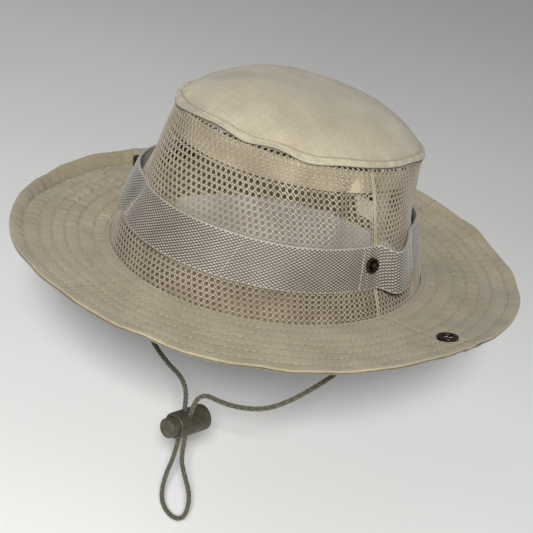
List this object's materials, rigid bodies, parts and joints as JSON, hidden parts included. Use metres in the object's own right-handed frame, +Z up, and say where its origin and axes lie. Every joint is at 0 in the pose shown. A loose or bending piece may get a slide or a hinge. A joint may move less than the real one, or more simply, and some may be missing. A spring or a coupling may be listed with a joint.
{
  "type": "boonie hat",
  "caption": "Wide-brimmed cloth boonie hat with a netting crown, webbing hatband, snap-up brim sides and a chin cord with a sprung cord lock.",
  "frame": {"origin": "centre of the head opening, on the seam between crown and brim", "axes": "+Z up through the crown, -Y to the wearer's front, +X to the wearer's left"},
  "size_m": [0.296, 0.3264, 0.2906],
  "materials": {
    "netting": "warp-knit hexagonal netting, khaki, matt",
    "tip_cloth": "ripstop cotton, khaki, matt",
    "binding_tape": "woven binding tape, khaki",
    "sweatband_cloth": "twill sweatband, khaki",
    "label_tape": "blank woven tape",
    "webbing": "woven polyester webbing, grey beige, slight sheen",
    "brim_cloth": "ripstop cotton, khaki, matt",
    "under_cloth": "ripstop cotton, darker khaki, matt",
    "interlining": "non-woven interlining",
    "snap_metal": "antique finish, worn on its rims",
    "cord": "round braided cord, dark olive",
    "tab_cloth": "folded cloth tab",
    "spring_steel": "drawn wire",
    "plunger_plastic": "moulded nylon",
    "lock_plastic": "moulded nylon"
  },
  "bodies": {
    "root": {"brim_stiffener": "interlining", "brim_under_back": "under_cloth", "brim_under_front": "under_cloth", "brim_upper_back": "brim_cloth", "brim_upper_front": "brim_cloth", "chin_cord": "cord", "cord_tab_left": "tab_cloth", "cord_tab_right": "tab_cloth", "crown_mesh_back": "netting", "crown_mesh_front": "netting", "crown_seam_tape": "binding_tape", "crown_side_tape_left": "binding_tape", "crown_side_tape_right": "binding_tape", "crown_snap_post_left": "snap_metal", "crown_snap_post_right": "snap_metal", "crown_snap_stud_left": "snap_metal", "crown_snap_stud_right": "snap_metal", "crown_tip": "tip_cloth", "hatband_back": "webbing", "hatband_front": "webbing", "size_label": "label_tape", "sweatband": "sweatband_cloth"},
    "brim_left_side": {"brim_snap_cap_left": "snap_metal", "brim_snap_socket_left": "snap_metal", "brim_stiffener_left": "interlining", "brim_under_left_back": "under_cloth", "brim_under_left_front": "under_cloth", "brim_upper_left_back": "brim_cloth", "brim_upper_left_front": "brim_cloth"},
    "brim_right_side": {"brim_snap_cap_right": "snap_metal", "brim_snap_socket_right": "snap_metal", "brim_stiffener_right": "interlining", "brim_under_right_back": "under_cloth", "brim_under_right_front": "under_cloth", "brim_upper_right_back": "brim_cloth", "brim_upper_right_front": "brim_cloth"},
    "cord_lock": {"cord_lock_barrel": "lock_plastic", "cord_lock_spring": "spring_steel"},
    "cord_lock_button": {"cord_lock_plunger": "plunger_plastic"}
  },
  "joints": [
    {"name": "brim_left_fold", "type": "hinge", "parent": "root", "child": "brim_left_side", "pos_m": [0.09977, 0.02121, 0.006], "axis": [0.2079, -0.9781, 0], "range_deg": [0, 92], "stiffness_Nm_per_rad": 0.05},
    {"name": "brim_right_fold", "type": "hinge", "parent": "root", "child": "brim_right_side", "pos_m": [-0.09977, 0.02121, 0.006], "axis": [0.2079, 0.9781, 0], "range_deg": [0, 92], "stiffness_Nm_per_rad": 0.05},
    {"name": "cord_lock_slide", "type": "slide", "parent": "root", "child": "cord_lock", "axis": [0, 0, -1], "range_m": [0, 0.01]},
    {"name": "cord_lock_press", "type": "slide", "parent": "cord_lock", "child": "cord_lock_button", "axis": [0, 1, 0], "range_m": [0, 0.0035], "stiffness_N_per_m": 400, "springref_m": -0.004, "deforming": ["cord_lock_spring"]}
  ]
}
